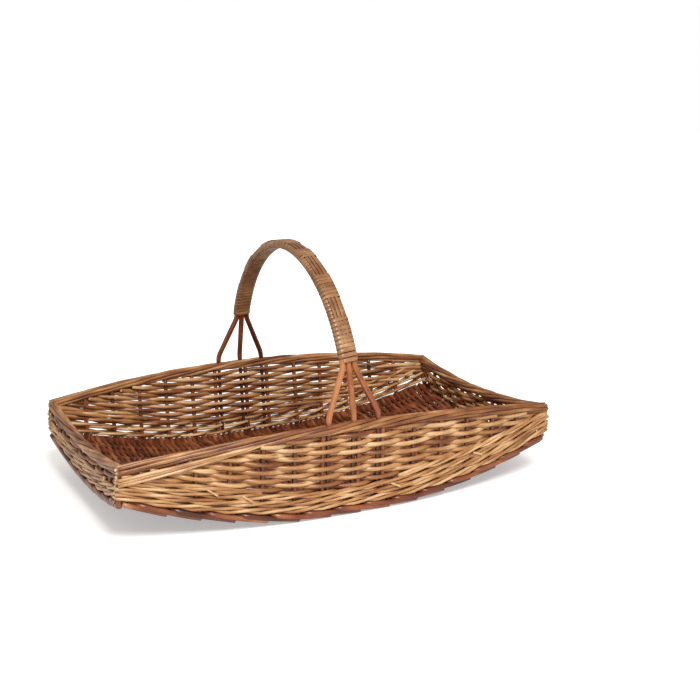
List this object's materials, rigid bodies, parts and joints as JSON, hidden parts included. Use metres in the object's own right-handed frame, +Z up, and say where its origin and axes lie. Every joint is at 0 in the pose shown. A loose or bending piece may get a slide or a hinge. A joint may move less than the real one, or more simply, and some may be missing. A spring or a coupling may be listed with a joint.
{
  "type": "trug basket",
  "caption": "Shallow boat-shaped woven willow garden trug: low curved walls, rolled rim, rising ends and a fixed lapped bow handle across the middle.",
  "frame": {"origin": "on the ground under the middle of the basket, at the centre of its outline seen from above", "axes": "+X along the basket's length, +Y across it in the plane of the bow handle, +Z up"},
  "size_m": [0.576, 0.3839, 0.3115],
  "materials": {
    "willow_buff": "satin",
    "willow_stake": "satin",
    "willow_brown": "satin",
    "cane": "satin"
  },
  "bodies": {
    "root": {"base_sticks": "willow_stake", "base_weave": "willow_brown", "bow_rod_left": "willow_stake", "bow_rod_middle": "willow_stake", "bow_rod_right": "willow_stake", "corner_post_back_left": "willow_stake", "corner_post_back_right": "willow_stake", "corner_post_front_left": "willow_stake", "corner_post_front_right": "willow_stake", "foot_border_back": "willow_brown", "foot_border_front": "willow_brown", "foot_border_left": "willow_brown", "foot_border_right": "willow_brown", "lapping_back": "cane", "lapping_front": "cane", "leader_left": "cane", "leader_middle": "cane", "leader_right": "cane", "rim_border_back": "willow_buff", "rim_border_front": "willow_buff", "rim_border_left": "willow_buff", "rim_border_right": "willow_buff", "stakes_back": "willow_stake", "stakes_front": "willow_stake", "stakes_left": "willow_stake", "stakes_right": "willow_stake", "upsett_wale_back": "willow_buff", "upsett_wale_front": "willow_buff", "upsett_wale_left": "willow_buff", "upsett_wale_right": "willow_buff", "weave_back": "willow_buff", "weave_front": "willow_buff", "weave_left": "willow_buff", "weave_right": "willow_buff"}
  },
  "joints": []
}
